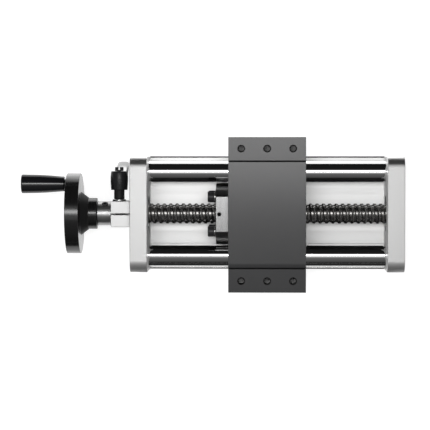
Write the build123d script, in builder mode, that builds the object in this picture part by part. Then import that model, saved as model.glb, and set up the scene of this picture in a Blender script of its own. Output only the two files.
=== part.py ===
from build123d import *
import os
from math import cos, pi, radians, sin

# A hand-driven ball screw stage. X runs along the screw with the handwheel at -X, Z points up from
# the mounting face, and the origin is under the screw, midway between the end plates. Sizes in mm.

os.makedirs("parts", exist_ok=True)

# End plates and base
plate_gap = 186.0
plate_thickness = 13.5
plate_width = 90.0
plate_height = 62.0
plate_corner = 9.3
edge_break = 0.5
base_width = 89.0
base_thickness = 12.2
channel_width = 48.8
channel_depth = 1.2

# Tapped holes in the underside, for a stranger's screws
base_tap = 5.0
base_tap_depth = 9.0
base_tap_spacing_x = 140.0
base_tap_spacing_y = 66.0

# Screw threads by nominal diameter, and the room round them
frame_thread = 5.0
frame_grip = 17.0
frame_screw_height = 6.0
frame_screw_inset = 10.5
thread_sides = 12
head_sides = 20
round_sides = 24
bore_sides = 32
wheel_sides = 48
head_factor = 1.5
head_extra = 1.0
thread_gap = 0.05
shank_gap = 0.25
head_gap = 0.5
head_sink = 0.5
tap_runout = 2.0

# Guide shafts
shaft_diameter = 16.0
shaft_spacing = 66.0
shaft_rise = 4.0
shaft_seat = 5.0
shaft_fit = 0.02
shaft_thread = 5.0
shaft_grip = 12.0

# Ball screw and its journals
screw_diameter = 15.8
screw_height = 33.0
journal_diameter = 12.0
journal_fit = 0.02
journal_inset = 1.2
idle_journal_inset = 0.3

# Sealed bearings, put in from the inner faces
bearing_diameter = 28.0
bearing_width = 8.0
bearing_inset = 0.3
bearing_fit = 0.02
lip_bore = 18.8

# Carriage: table, block, bushings
table_length = 60.0
table_width = 120.0
table_thickness = 12.0
wing_width = 18.65
groove_width = 1.0
groove_depth = 4.2
land_round = 3.4
table_tap = 5.0
table_tap_depth = 9.0
table_tap_pitch = 20.0
table_tap_inset = 8.9
bushing_diameter = 28.0
bushing_length = 37.0
bushing_fit = 0.02
bushing_play = 0.05
block_side = 11.0
block_roof = 3.0
block_floor = 4.0
table_thread = 5.0
table_grip = 8.0
table_screw_spacing = 20.0

# Ball nut
flange_diameter = 48.0
flange_flats = 40.0
flange_thickness = 10.0
nut_diameter = 28.0
nut_length = 40.0
nut_circle = 38.0
nut_fit = 0.1
nut_play = 0.4
nut_thread = 5.0
nut_grip = 11.0
spring_washer_thickness = 1.3
spring_washer_diameter = 8.8
spring_washer_split = 0.8
washer_sides = 16
oil_port_diameter = 3.2
oil_port_depth = 6.0
oil_port_inset = 2.8
oil_duct_diameter = 1.5

# Handwheel, its steel sleeve and the set screw
wheel_diameter = 63.0
wheel_rim = 10.4
wheel_back_bevel = 1.8
wheel_recess = 4.0
wheel_recess_diameter = 31.0
hub_diameter = 24.6
hub_length = 6.7
cone_length = 6.2
cone_diameter = 34.0
sleeve_diameter = 19.0
sleeve_length = 11.7
set_thread = 5.0
set_inset = 5.5
set_proud = 0.3
sleeve_play = 0.4
set_angle = 35.0

# Crank handle and the spindle that it turns on
handle_reach = 23.2
handle_length = 34.0
handle_diameter = 15.1
handle_belly_diameter = 14.7
handle_belly = 13.0
handle_waist_diameter = 13.5
handle_waist = 24.0
handle_small_diameter = 12.0
handle_bevel = 1.2
handle_standoff = 2.7
handle_fit = 0.08
handle_float = 0.15
handle_pocket_diameter = 11.4
handle_pocket_depth = 4.0
spindle_diameter = 7.5
spindle_head_diameter = 10.4
spindle_head = 3.0
spindle_thread = 6.0
spindle_grip = 8.6

# Split clamp block on the drive end
block_width = 20.0
block_length = 15.2
block_bevel = 0.6
clamp_web = 3.0
clamp_crown = 5.0
clamp_setback = 9.0
clamp_slit = 1.0
clamp_play = 0.05
clamp_thread = 6.0
clamp_thread_play = 0.05
foot_thread = 4.0
foot_grip = 9.0
foot_spacing = 10.0
foot_drop = 3.0
foot_wall = 1.2

# Clamp lever with its stud, spring and retaining screw
lever_washer_diameter = 10.6
lever_washer_thickness = 1.6
neck_diameter = 8.2
neck_length = 7.4
spline_radius = 5.0
spline_depth = 0.7
spline_count = 12
spline_length = 2.6
spline_gap = 0.15
lever_base_diameter = 13.0
lever_belly_diameter = 13.8
lever_top_diameter = 12.2
lever_base_length = 9.0
lever_hub_length = 14.4
lever_web = 1.5
lever_dish = 1.4
lever_dish_diameter = 9.8
spring_bore = 7.4
spring_wire = 0.8
spring_turns = 4
spring_sides = 8
spring_gap = 0.15
cap_gap = 0.2
cap_diameter = 6.7
cap_length = 3.1
cap_slot = 1.5
cap_slot_depth = 2.2
pin_diameter = 3.4
pin_play = 0.3
pin_grip = 7.0
arm_length = 43.5
arm_root_drop = 2.0
arm_root_width = 8.4
arm_root_depth = 9.0
arm_root_offset = 6.6
arm_tip_width = 8.8
arm_tip_depth = 6.4
arm_tip_offset = 19.0
arm_bevel = 2.0

# Planes and stations worked out from the sizes above
shaft_height = screw_height + shaft_rise
inner_face = plate_gap / 2
outer_face = inner_face + plate_thickness
screw_axis = Axis((0, 0, screw_height), (1, 0, 0))
bearing_in = inner_face + bearing_inset
bushing_radius = bushing_diameter / 2
table_bottom = shaft_height + bushing_radius + block_roof
table_top = table_bottom + table_thickness
block_half_width = shaft_spacing / 2 + bushing_radius + block_side
block_bottom = screw_height - nut_diameter / 2 - block_floor
flange_face = -table_length / 2 - flange_thickness
nut_bolt = nut_circle / 2 * sin(radians(45))
block_face = -outer_face - block_length
hub_face = block_face - sleeve_length
cone_start = hub_face - hub_length
wheel_back = cone_start - cone_length
wheel_front = wheel_back - wheel_rim
handle_end = wheel_front - handle_standoff
handle_tip = handle_end - handle_length
clamp_x = -outer_face - clamp_setback
clamp_height = screw_height + journal_diameter / 2 + clamp_web + clamp_thread / 2
clamp_top = clamp_height + clamp_thread / 2 + clamp_crown
foot_height = screw_height - bearing_diameter / 2 - foot_drop


def head_radius(thread):
    """Socket head radius of a metric cap screw."""
    return (head_factor * thread + head_extra) / 2


def across(x, facing=1):
    """The plane square to X at x: local x is along Y, local y is up, and it faces +X or -X."""
    return Plane(origin=(x, 0, 0), x_dir=(0, facing, 0), z_dir=(facing, 0, 0))


def prisms(seat, points, radius, sides, height):
    """Many-sided bars that rise from the seat plane at each point, or sink below it."""
    with BuildPart() as bars:
        with BuildSketch(seat) as section:
            with Locations(*points):
                RegularPolygon(radius, sides)
        extrude(amount=height)
    return bars.part


def cap_screws(seat, points, thread, shank):
    """Cap screws with their heads on the seat plane and their shanks behind it."""
    with BuildPart() as screws:
        add(prisms(seat, points, head_radius(thread), head_sides, thread))
        add(prisms(seat, points, thread / 2, thread_sides, -shank))
    return screws.part


def tapped(seat, points, thread, depth):
    """What a screw's thread takes out below the seat plane."""
    return prisms(seat, points, thread / 2 + thread_gap, thread_sides, -depth)


def cleared(seat, points, thread, depth):
    """What a screw that passes freely takes out below the seat plane."""
    return prisms(seat, points, thread / 2 + shank_gap, thread_sides, -depth)


def recessed(seat, points, thread, depth):
    """What a sunk screw head takes out below the seat plane."""
    return prisms(seat, points, head_radius(thread) + head_gap, head_sides, -depth)


def bored(seat, points, radius, depth):
    """The many-sided bore below the seat plane that a round part of this radius fits in."""
    return prisms(seat, points, radius / cos(pi / bore_sides), bore_sides, -depth)


def walled(rings):
    """A solid with flat walls between rings of corners whose edges run parallel."""
    walls = [rings[0], rings[-1]]
    for near, far in zip(rings, rings[1:]):
        walls += [[near[k - 1], near[k], far[k], far[k - 1]] for k in range(len(near))]
    return Solid(Shell([Face(Wire.make_polygon(wall)) for wall in walls]))


def faceted(base, sides, stations):
    """A many-sided body on the base plane, from the height and corner radius of each station."""
    corners = [(cos(2 * pi * k / sides), sin(2 * pi * k / sides)) for k in range(sides)]
    rings = [
        [base.from_local_coords((radius * c, radius * s, height)) for c, s in corners]
        for height, radius in stations
    ]
    return walled([[Vector(corner) for corner in ring] for ring in rings])


def turned(axis, outline):
    """A body turned about an axis along X, from the x and radius of each corner of its outline."""
    with BuildPart() as body:
        with BuildSketch(Plane(origin=axis.position, x_dir=(1, 0, 0), z_dir=(0, -1, 0))):
            with BuildLine():
                Polyline(*outline, close=True)
            make_face()
        revolve(axis=axis)
    return body.part


def save(part, label):
    """Labels a finished piece and writes it to its own file."""
    part.label = label
    export_step(part, f"parts/{label}.step")


# Base plate with a shallow centre channel
frame_screw_spread = base_width / 2 - frame_screw_inset
frame_points = [(y, frame_screw_height) for y in (-frame_screw_spread, frame_screw_spread)]
with BuildPart() as base_plate:
    with BuildSketch(across(-inner_face)) as section:
        with BuildLine():
            Polyline(
                (-base_width / 2, 0),
                (base_width / 2, 0),
                (base_width / 2, base_thickness),
                (channel_width / 2, base_thickness),
                (channel_width / 2, base_thickness - channel_depth),
                (-channel_width / 2, base_thickness - channel_depth),
                (-channel_width / 2, base_thickness),
                (-base_width / 2, base_thickness),
                close=True,
            )
        make_face()
        chamfer(section.vertices().group_by(Axis.X)[0], edge_break)
        chamfer(section.vertices().group_by(Axis.X)[-1], edge_break)
    extrude(amount=plate_gap)
    for side in (-1, 1):
        seat = across(side * inner_face, side)
        add(tapped(seat, frame_points, frame_thread, frame_grip + tap_runout), mode=Mode.SUBTRACT)
    with Locations(Plane.XY.rotated((180, 0, 0))):
        with GridLocations(base_tap_spacing_x, base_tap_spacing_y, 2, 2):
            Hole(base_tap / 2, base_tap_depth)
save(base_plate.part, "base_plate")

# End plates: bearing housing, shaft seats and screw recesses
shaft_points = [(-shaft_spacing / 2, shaft_height), (shaft_spacing / 2, shaft_height)]
head_recess = frame_thread + head_sink
shaft_recess = shaft_thread + head_sink


def end_plate(side):
    """An end plate, for the drive end (-1) or the idle end (1)."""
    inner = across(side * inner_face, -side)
    outer = across(side * outer_face, side)
    with BuildPart() as plate:
        with BuildSketch(across(side * inner_face, side)) as outline:
            with Locations((0, plate_height / 2)):
                Rectangle(plate_width, plate_height)
            fillet(outline.vertices().group_by(Axis.Y)[-1], plate_corner)
        extrude(amount=plate_thickness)
        outer_edges = plate.faces().sort_by(Axis.X)[-1 if side > 0 else 0].edges()
        chamfer(outer_edges, edge_break)
        add(recessed(outer, frame_points, frame_thread, head_recess), mode=Mode.SUBTRACT)
        add(recessed(outer, shaft_points, shaft_thread, shaft_recess), mode=Mode.SUBTRACT)
        add(bored(inner, shaft_points, shaft_diameter / 2 + shaft_fit, shaft_seat), mode=Mode.SUBTRACT)
        bearing_seat = bearing_diameter / 2 + bearing_fit
        add(bored(inner, screw_point, bearing_seat, bearing_depth), mode=Mode.SUBTRACT)
        add(bored(inner, screw_point, lip_bore / 2, plate_thickness), mode=Mode.SUBTRACT)
        add(cleared(outer, frame_points, frame_thread, plate_thickness), mode=Mode.SUBTRACT)
        add(cleared(outer, shaft_points, shaft_thread, plate_thickness), mode=Mode.SUBTRACT)
    return plate.part


screw_point = [(0, screw_height)]
bearing_depth = bearing_inset + bearing_width
foot_points = [(-foot_spacing / 2, foot_height), (foot_spacing / 2, foot_height)]
with BuildPart() as drive_end_plate:
    add(end_plate(-1))
    seat = across(-outer_face, -1)
    add(tapped(seat, foot_points, foot_thread, foot_grip + tap_runout), mode=Mode.SUBTRACT)
save(drive_end_plate.part, "drive_end_plate")
with BuildPart() as idle_end_plate:
    add(end_plate(1))
save(idle_end_plate.part, "idle_end_plate")

# Screws that hold the plates to the base and the shafts to the plates
frame_shank = plate_thickness - head_recess + frame_grip
shaft_shank = plate_thickness - shaft_recess - shaft_seat + shaft_grip
with BuildPart() as base_screws:
    for side in (-1, 1):
        seat = across(side * (outer_face - head_recess), side)
        add(cap_screws(seat, frame_points, frame_thread, frame_shank))
save(base_screws.part, "base_screws")
with BuildPart() as shaft_screws:
    for side in (-1, 1):
        seat = across(side * (outer_face - shaft_recess), side)
        add(cap_screws(seat, shaft_points, shaft_thread, shaft_shank))
save(shaft_screws.part, "shaft_screws")

# Guide shafts, tapped at both ends
shaft_half_length = inner_face + shaft_seat
for label, y in (("front_guide_shaft", -shaft_spacing / 2), ("rear_guide_shaft", shaft_spacing / 2)):
    with BuildPart() as guide_shaft:
        with BuildSketch(across(-shaft_half_length)) as section:
            with Locations((y, shaft_height)):
                Circle(shaft_diameter / 2)
        extrude(amount=2 * shaft_half_length)
        for side in (-1, 1):
            seat = across(side * shaft_half_length, side)
            bore = tapped(seat, [(side * y, shaft_height)], shaft_thread, shaft_grip + tap_runout)
            add(bore, mode=Mode.SUBTRACT)
    save(guide_shaft.part, label)

# Ball screw: threaded length between the bearings, a journal at each end
journal = journal_diameter / 2
idle_tip = outer_face - idle_journal_inset
drive_tip = wheel_front + wheel_recess + journal_inset
with BuildPart() as ball_screw:
    add(
        turned(
            screw_axis,
            [
                (drive_tip, 0),
                (drive_tip, journal),
                (-bearing_in, journal),
                (-bearing_in, screw_diameter / 2),
                (bearing_in, screw_diameter / 2),
                (bearing_in, journal),
                (idle_tip, journal),
                (idle_tip, 0),
            ],
        )
    )
save(ball_screw.part, "ball_screw")

# Sealed ball bearings, pressed into the plates, with the screw's journals in their bores
bearing_bore = journal + journal_fit
with BuildPart() as ball_bearings:
    for side in (-1, 1):
        seat = across(side * bearing_in, side)
        add(prisms(seat, screw_point, bearing_diameter / 2, bore_sides, bearing_width))
        with BuildSketch(seat):
            with Locations(*screw_point):
                Circle(bearing_bore)
        extrude(amount=bearing_width, mode=Mode.SUBTRACT)
save(ball_bearings.part, "ball_bearings")

# Table: six tapped holes in its wings and a groove along each side of the centre land
table_points = [
    (x, y)
    for x in (-table_screw_spacing / 2, table_screw_spacing / 2)
    for y in (block_side / 2 - block_half_width, block_half_width - block_side / 2)
]


def below(z):
    """The level plane at z that faces down."""
    return Plane(origin=(0, 0, z), x_dir=(1, 0, 0), z_dir=(0, 0, -1))


with BuildPart() as carriage_table:
    with BuildSketch(Plane.XY.offset(table_bottom)) as outline:
        Rectangle(table_length, table_width)
    extrude(amount=table_thickness)
    with BuildSketch(Plane.XY.offset(table_top)) as grooves:
        with GridLocations(0, table_width - 2 * wing_width, 1, 2):
            Rectangle(table_length, groove_width)
    extrude(amount=-groove_depth, mode=Mode.SUBTRACT)
    top_edges = carriage_table.edges().group_by(Axis.Z)[-1]
    rail_edges = top_edges.filter_by(Axis.X).sort_by(Axis.Y)
    fillet(rail_edges[2], land_round)
    top_edges = carriage_table.edges().group_by(Axis.Z)[-1]
    chamfer(top_edges.filter_by(Axis.Y), edge_break)
    with Locations(Plane.XY.offset(table_top)):
        with GridLocations(table_tap_pitch, table_width - 2 * table_tap_inset, 3, 2):
            Hole(table_tap / 2, table_tap_depth)
    depth = table_grip + tap_runout / 2
    add(tapped(below(table_bottom), table_points, table_thread, depth), mode=Mode.SUBTRACT)
save(carriage_table.part, "carriage_table")

# Carriage block: bores for both bushings and the nut, and screw holes
nut_points = [(y, screw_height + z) for y in (-nut_bolt, nut_bolt) for z in (-nut_bolt, nut_bolt)]
table_recess = table_thread + head_sink
block_height = table_bottom - block_bottom
with BuildPart() as carriage_block:
    with BuildSketch(Plane.XY.offset(block_bottom)) as outline:
        Rectangle(table_length, 2 * block_half_width)
    extrude(amount=block_height)
    chamfer(carriage_block.edges().group_by(Axis.Z)[0], edge_break)
    seat = across(-table_length / 2, -1)
    add(bored(seat, shaft_points, bushing_radius + bushing_fit, table_length), mode=Mode.SUBTRACT)
    add(bored(seat, screw_point, nut_diameter / 2 + nut_fit, table_length), mode=Mode.SUBTRACT)
    add(recessed(below(block_bottom), table_points, table_thread, table_recess), mode=Mode.SUBTRACT)
    add(cleared(below(block_bottom), table_points, table_thread, block_height), mode=Mode.SUBTRACT)
    add(tapped(seat, nut_points, nut_thread, nut_grip + tap_runout), mode=Mode.SUBTRACT)
save(carriage_block.part, "carriage_block")

# Table screws, from below
table_seat = block_bottom + table_recess
table_shank = table_bottom - table_seat + table_grip
save(cap_screws(below(table_seat), table_points, table_thread, table_shank), "table_screws")

# Linear bushings, pressed into the block, whose balls run out of sight
bushing_bore = shaft_diameter / 2 + bushing_play
with BuildPart() as linear_bushings:
    seat = across(bushing_length / 2)
    add(prisms(seat, shaft_points, bushing_radius, bore_sides, -bushing_length))
    add(bored(seat, shaft_points, bushing_bore, bushing_length), mode=Mode.SUBTRACT)
save(linear_bushings.part, "linear_bushings")

# Ball nut: flange with two flats and an oil port, and a round body in the block
nut_radius = nut_diameter / 2
nut_bore = screw_diameter / 2 + nut_play
nut_start = flange_face + flange_thickness
oil_x = flange_face + oil_port_inset
with BuildPart() as ball_nut:
    with BuildSketch(across(flange_face)) as outline:
        with Locations((0, screw_height)):
            Circle(flange_diameter / 2)
            Rectangle(flange_diameter, flange_flats, mode=Mode.INTERSECT)
    extrude(amount=flange_thickness)
    chamfer(ball_nut.edges().group_by(Axis.X)[0], edge_break)
    add(prisms(across(nut_start), screw_point, nut_radius, bore_sides, nut_length))
    bore_length = flange_thickness + nut_length
    add(bored(across(flange_face, -1), screw_point, nut_bore, bore_length), mode=Mode.SUBTRACT)
    add(cleared(across(flange_face, -1), nut_points, nut_thread, flange_thickness), mode=Mode.SUBTRACT)
    with Locations(Plane.XY.offset(screw_height + flange_flats / 2)):
        with Locations((oil_x, 0)):
            Hole(oil_port_diameter / 2, oil_port_depth)
            Hole(oil_duct_diameter / 2, flange_flats / 2)
save(ball_nut.part, "ball_nut")

# Nut screws on split spring washers
nut_seat = flange_face - spring_washer_thickness
nut_shank = spring_washer_thickness + flange_thickness + nut_grip
save(cap_screws(across(nut_seat, -1), nut_points, nut_thread, nut_shank), "nut_screws")
with BuildPart() as nut_spring_washers:
    seat = across(nut_seat)
    add(prisms(seat, nut_points, spring_washer_diameter / 2, washer_sides, spring_washer_thickness))
    hole = prisms(seat, nut_points, nut_thread / 2 + shank_gap, washer_sides, spring_washer_thickness)
    add(hole, mode=Mode.SUBTRACT)
    with BuildSketch(seat) as splits:
        for y, z in nut_points:
            with Locations((y + spring_washer_diameter / 4, z)):
                Rectangle(spring_washer_diameter / 2, spring_washer_split)
    extrude(amount=spring_washer_thickness, mode=Mode.SUBTRACT)
save(nut_spring_washers.part, "nut_spring_washers")

# Split clamp block: journal bore, slit to the top, cross hole and two foot screws
block_foot = foot_height - head_radius(foot_thread) - foot_wall
clamp_half = block_width / 2
with BuildPart() as clamp_block:
    with BuildSketch(across(-outer_face, -1)) as outline:
        with Locations((0, (clamp_top + block_foot) / 2)):
            Rectangle(block_width, clamp_top - block_foot)
    extrude(amount=block_length)
    chamfer(clamp_block.edges().filter_by(Axis.X), block_bevel)
    seat = across(block_face, -1)
    add(bored(seat, screw_point, journal + clamp_play, block_length), mode=Mode.SUBTRACT)
    add(cleared(seat, foot_points, foot_thread, block_length), mode=Mode.SUBTRACT)
    with BuildSketch(Plane.XY.offset(clamp_top)) as slit:
        with Locations(((block_face - outer_face) / 2, 0)):
            Rectangle(block_length, clamp_slit)
    extrude(amount=screw_height - clamp_top, mode=Mode.SUBTRACT)
    with BuildSketch(Plane.XZ.offset(-clamp_half)) as cross_hole:
        with Locations((clamp_x, clamp_height)):
            Circle(clamp_thread / 2 + clamp_thread_play)
    extrude(amount=block_width, mode=Mode.SUBTRACT)
save(clamp_block.part, "clamp_block")
foot_shank = block_length + foot_grip
save(cap_screws(across(block_face, -1), foot_points, foot_thread, foot_shank), "clamp_block_screws")

# Steel sleeve between the clamp block and the handwheel's hub, and its set screw on the journal
sleeve_radius = sleeve_diameter / 2
set_out = (0, cos(radians(set_angle)), sin(radians(set_angle)))
set_x = block_face - set_inset
set_plane = Plane(
    origin=(set_x, sleeve_radius * set_out[1], screw_height + sleeve_radius * set_out[2]),
    x_dir=(1, 0, 0),
    z_dir=set_out,
)
set_length = sleeve_radius - journal

drive_bore = journal + journal_fit
sleeve_start = block_face - sleeve_play
sleeve_end = across(sleeve_start)
with BuildPart() as drive_sleeve:
    with BuildSketch(sleeve_end):
        with Locations(*screw_point):
            Circle(sleeve_radius)
    extrude(amount=hub_face - sleeve_start)
    add(bored(sleeve_end, screw_point, drive_bore, sleeve_start - hub_face), mode=Mode.SUBTRACT)
    bore = tapped(set_plane, [(0, 0)], set_thread, sleeve_radius - journal + journal_fit)
    add(bore, mode=Mode.SUBTRACT)
save(drive_sleeve.part, "drive_sleeve")
save(
    prisms(set_plane.offset(set_proud), [(0, 0)], set_thread / 2, thread_sides, -set_length),
    "sleeve_set_screw",
)

# Handwheel: plain hub, cone and rim, with a recessed front and a hole for the spindle
wheel_radius = wheel_diameter / 2
hub_radius = hub_diameter / 2
front_recess = wheel_recess_diameter / 2
handle_plane = Plane(origin=(wheel_front, handle_reach, screw_height), x_dir=(0, -1, 0), z_dir=(-1, 0, 0))
wheel_plane = Plane(origin=(0, 0, screw_height), x_dir=(0, 1, 0), z_dir=(1, 0, 0))
with BuildPart() as handwheel:
    add(
        faceted(
            wheel_plane,
            wheel_sides,
            [
                (wheel_front, wheel_radius),
                (wheel_back - wheel_back_bevel, wheel_radius),
                (wheel_back, wheel_radius - wheel_back_bevel),
                (wheel_back, cone_diameter / 2),
                (cone_start, hub_radius),
                (hub_face, hub_radius),
            ],
        )
    )
    front = across(wheel_front, -1)
    add(prisms(front, screw_point, front_recess, wheel_sides, -wheel_recess), mode=Mode.SUBTRACT)
    add(bored(front, screw_point, drive_bore, hub_face - wheel_front), mode=Mode.SUBTRACT)
    add(tapped(handle_plane, [(0, 0)], spindle_thread, spindle_grip), mode=Mode.SUBTRACT)
save(handwheel.part, "handwheel")

# Crank handle, free to turn on a shouldered spindle that is screwed into the wheel
handle_axis = Axis((0, handle_reach, screw_height), (1, 0, 0))
spindle = spindle_diameter / 2
pocket = handle_pocket_diameter / 2
pocket_floor = handle_tip + handle_pocket_depth
head_back = pocket_floor - handle_float
with BuildPart() as handle_spindle:
    add(
        turned(
            handle_axis,
            [
                (head_back - spindle_head, 0),
                (head_back - spindle_head, spindle_head_diameter / 2),
                (head_back, spindle_head_diameter / 2),
                (head_back, spindle),
                (wheel_front, spindle),
                (wheel_front, 0),
            ],
        )
    )
    add(prisms(handle_plane, [(0, 0)], spindle_thread / 2, thread_sides, -spindle_grip))
save(handle_spindle.part, "handle_spindle")
handle_bore = spindle + handle_fit
handle_outline = [
    (handle_tip, handle_diameter / 2 - handle_bevel),
    (handle_tip + handle_bevel, handle_diameter / 2),
    (handle_tip + handle_belly, handle_belly_diameter / 2),
    (handle_tip + handle_waist, handle_waist_diameter / 2),
    (handle_end, handle_small_diameter / 2),
]
tip_plane = handle_plane.offset(handle_length + handle_standoff)
crank_plane = Plane(origin=(0, handle_reach, screw_height), x_dir=(0, 1, 0), z_dir=(1, 0, 0))
with BuildPart() as crank_handle:
    add(faceted(crank_plane, round_sides, handle_outline))
    add(bored(tip_plane, [(0, 0)], pocket, handle_pocket_depth), mode=Mode.SUBTRACT)
    with Locations(tip_plane):
        Hole(handle_bore, handle_length)
save(crank_handle.part, "crank_handle")

# Clamp stud along +Y through the block: thread, neck and a splined head for the lever
stud = clamp_thread / 2
washer_face = clamp_half + lever_washer_thickness
neck_end = washer_face + neck_length
stud_end = neck_end + spline_length
lever_axis = Axis((clamp_x, 0, clamp_height), (0, 1, 0))


def beside(y):
    """The plane square to Y at y, round the lever's axis: local x is along X, and it faces +Y."""
    return Plane(origin=(clamp_x, y, clamp_height), x_dir=(1, 0, 0), z_dir=(0, 1, 0))


def turned_up(outline):
    """A body turned about the lever's axis, from the radius and y of each corner of its outline."""
    with BuildPart() as body:
        with BuildSketch(Plane(origin=(clamp_x, 0, clamp_height), x_dir=(1, 0, 0), z_dir=(0, 0, 1))):
            with BuildLine():
                Polyline(*outline, close=True)
            make_face()
        revolve(axis=lever_axis)
    return body.part


def spline_bar(y, length, growth):
    """A bar with square splines round it, grown by a gap on every flank."""
    with BuildPart() as bar:
        with BuildSketch(beside(y)) as section:
            RegularPolygon(spline_radius - spline_depth + growth, round_sides)
            with PolarLocations(spline_radius - spline_depth, spline_count):
                Rectangle(2 * (spline_depth + growth), spline_width + 2 * growth)
        extrude(amount=length)
    return bar.part


spline_width = pi * (spline_radius - spline_depth) / spline_count
with BuildPart() as clamp_washer:
    seat = beside(clamp_half)
    add(prisms(seat, [(0, 0)], lever_washer_diameter / 2, round_sides, lever_washer_thickness))
    add(cleared(seat, [(0, 0)], clamp_thread, -lever_washer_thickness), mode=Mode.SUBTRACT)
save(clamp_washer.part, "clamp_washer")

with BuildPart() as clamp_stud:
    add(
        turned_up(
            [
                (0, block_bevel - clamp_half),
                (stud, block_bevel - clamp_half),
                (stud, neck_end),
                (0, neck_end),
            ]
        )
    )
    seat = beside(washer_face + thread_gap)
    add(prisms(seat, [(0, 0)], neck_diameter / 2, round_sides, neck_length - thread_gap))
    add(spline_bar(neck_end, spline_length, 0))
    add(tapped(beside(stud_end), [(0, 0)], pin_diameter, pin_grip + tap_runout / 2), mode=Mode.SUBTRACT)
save(clamp_stud.part, "clamp_stud")

# Lever: hub with a splined socket, a spring bore and a dished end, and an arm that hangs down
hub_end = neck_end + lever_hub_length
web_face = stud_end + spline_gap + lever_web
arm_tip = clamp_height - arm_length
lever_outline = [
    (neck_end, lever_base_diameter / 2),
    (neck_end + lever_base_length, lever_belly_diameter / 2),
    (hub_end, lever_top_diameter / 2),
]


def arm_ring(width, depth, y, z):
    """Corners of the arm's section at height z, a rectangle with bevelled corners centred on y."""
    a = width / 2
    b = depth / 2
    corners = [(a - arm_bevel, b), (arm_bevel - a, b), (-a, b - arm_bevel), (-a, arm_bevel - b)]
    corners += [(-x, -y) for x, y in corners]
    return [Vector(clamp_x + dx, neck_end + y + dy, z) for dx, dy in corners]


hub_face_out = beside(hub_end)
with BuildPart() as clamp_lever:
    add(faceted(beside(0), round_sides, lever_outline))
    arm_root = arm_ring(arm_root_width, arm_root_depth, arm_root_offset, clamp_height - arm_root_drop)
    add(walled([arm_root, arm_ring(arm_tip_width, arm_tip_depth, arm_tip_offset, arm_tip)]))
    add(spline_bar(neck_end, spline_length + spline_gap, spline_gap), mode=Mode.SUBTRACT)
    add(bored(hub_face_out, [(0, 0)], spring_bore / 2, hub_end - web_face), mode=Mode.SUBTRACT)
    add(bored(hub_face_out, [(0, 0)], lever_dish_diameter / 2, lever_dish), mode=Mode.SUBTRACT)
    pin_hole = pin_diameter / 2 + pin_play
    add(bored(hub_face_out, [(0, 0)], pin_hole, hub_end - neck_end), mode=Mode.SUBTRACT)
save(clamp_lever.part, "clamp_lever")

# Slotted screw that keeps the lever and its spring on the stud
cap = cap_diameter / 2
cap_seat = hub_end + cap_gap
with BuildPart() as lever_cap_screw:
    add(prisms(beside(cap_seat), [(0, 0)], cap, head_sides, cap_length))
    pin_length = cap_seat - stud_end + pin_grip
    add(prisms(beside(cap_seat), [(0, 0)], pin_diameter / 2, thread_sides, -pin_length))
    with BuildSketch(beside(cap_seat + cap_length)) as slot:
        Rectangle(cap_slot, cap_diameter)
    extrude(amount=-cap_slot_depth, mode=Mode.SUBTRACT)
save(lever_cap_screw.part, "lever_cap_screw")

# Lever spring, between the web of the lever and the screw's head
spring_start = web_face + spring_gap + spring_wire / 2
spring_height = cap_seat - spring_gap - spring_wire / 2 - spring_start
spring_radius = spring_bore / 2 - spring_gap - spring_wire / 2
coil = [
    (
        clamp_x + spring_radius * cos(2 * pi * k / spring_sides),
        spring_start + spring_height * k / (spring_sides * spring_turns),
        clamp_height + spring_radius * sin(2 * pi * k / spring_sides),
    )
    for k in range(spring_sides * spring_turns + 1)
]
with BuildPart() as lever_spring:
    with BuildLine() as path:
        Polyline(*coil)
    with BuildSketch(Plane(origin=path.line @ 0, z_dir=path.line % 0)) as wire:
        Rectangle(spring_wire, spring_wire)
    sweep(transition=Transition.RIGHT)
save(lever_spring.part, "lever_spring")
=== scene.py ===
from math import asin, cos, hypot, pi, radians, sin, tan

import bmesh
import bpy
from mathutils import Matrix, Vector


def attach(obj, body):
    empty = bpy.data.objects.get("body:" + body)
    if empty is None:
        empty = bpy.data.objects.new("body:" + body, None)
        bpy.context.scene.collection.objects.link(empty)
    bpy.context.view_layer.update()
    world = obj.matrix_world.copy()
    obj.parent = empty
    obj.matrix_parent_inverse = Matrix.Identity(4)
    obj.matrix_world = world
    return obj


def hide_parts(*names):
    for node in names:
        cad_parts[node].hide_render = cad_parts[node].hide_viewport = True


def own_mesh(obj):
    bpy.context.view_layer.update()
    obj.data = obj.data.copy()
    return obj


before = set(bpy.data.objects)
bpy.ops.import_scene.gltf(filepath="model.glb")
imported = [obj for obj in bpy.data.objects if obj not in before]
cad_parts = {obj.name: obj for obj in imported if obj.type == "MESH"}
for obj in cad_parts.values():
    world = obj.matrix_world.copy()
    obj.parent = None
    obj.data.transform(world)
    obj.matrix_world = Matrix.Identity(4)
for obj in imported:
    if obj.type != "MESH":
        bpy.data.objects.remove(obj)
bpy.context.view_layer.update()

# Lengths are in millimetres until a mesh is made; only the floor, lamps and cards are in metres
MM = 0.001


def linked(name, data):
    """A new object of the data, in the scene."""
    obj = bpy.data.objects.new(name, data)
    bpy.context.scene.collection.objects.link(obj)
    return obj


# Camera: above the stage, as far off as the perspective of the plates' sides says

EYE = Vector((0.0, 56.0, 1666.0))
AIM = Vector((-41.0, -1.2, 33.0))
LENS = 173.94
SENSOR = 36.0
eye_z = (EYE - AIM).normalized()
eye_x = Vector((0, 1, 0)).cross(eye_z).normalized()
eye_y = eye_z.cross(eye_x)
eye_turn = Matrix((eye_x, eye_y, eye_z)).transposed().to_4x4()
camera = linked("camera", bpy.data.cameras.new("camera"))
camera.data.lens = LENS
camera.data.sensor_width = SENSOR
camera.data.clip_start = 0.05
camera.data.clip_end = 60.0
camera.matrix_world = Matrix.Translation(EYE * MM) @ eye_turn
bpy.context.scene.camera = camera


# Stations of the CAD: the lines that round pieces lie on

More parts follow.
